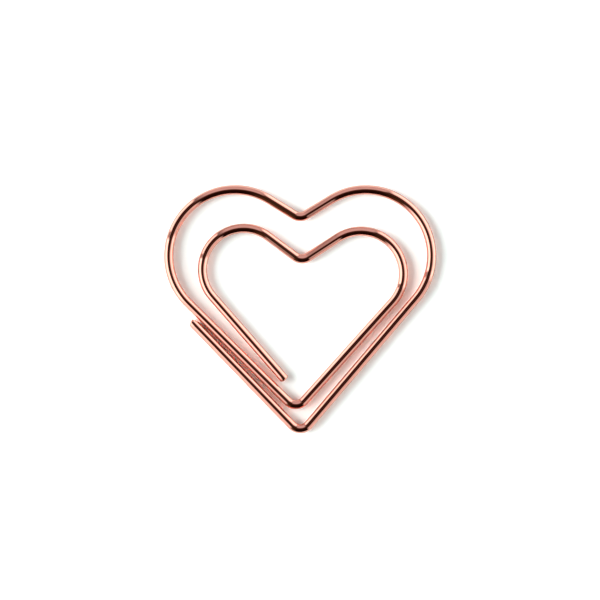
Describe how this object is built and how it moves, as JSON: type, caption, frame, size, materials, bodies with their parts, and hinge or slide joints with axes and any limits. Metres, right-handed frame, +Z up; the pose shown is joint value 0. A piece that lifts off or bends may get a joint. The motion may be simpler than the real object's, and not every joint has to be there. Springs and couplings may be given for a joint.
{
  "type": "paper clip",
  "caption": "Flat heart-shaped paper clip of round plated spring wire, an inner heart inside an outer heart, which grips sheets between the two.",
  "frame": {"origin": "middle of the clip's outline, on the surface that it lies on", "axes": "+X along its width, +Y towards the hearts' lobes, +Z up through the wire's thickness"},
  "size_m": [0.03, 0.0274, 0.001],
  "materials": {
    "plated_wire": "bright rose-gold plating on steel wire"
  },
  "bodies": {
    "outer_heart": {"outer_heart": "plated_wire"},
    "inner_heart": {"inner_heart": "plated_wire"}
  },
  "joints": [
    {"name": "heart_spring", "type": "hinge", "parent": "outer_heart", "child": "inner_heart", "pos_m": [-0.01004, 0.01257, 0.00052], "axis": [-0.9205, -0.3907, 0], "range_deg": [0, 12], "stiffness_Nm_per_rad": 0.38}
  ]
}
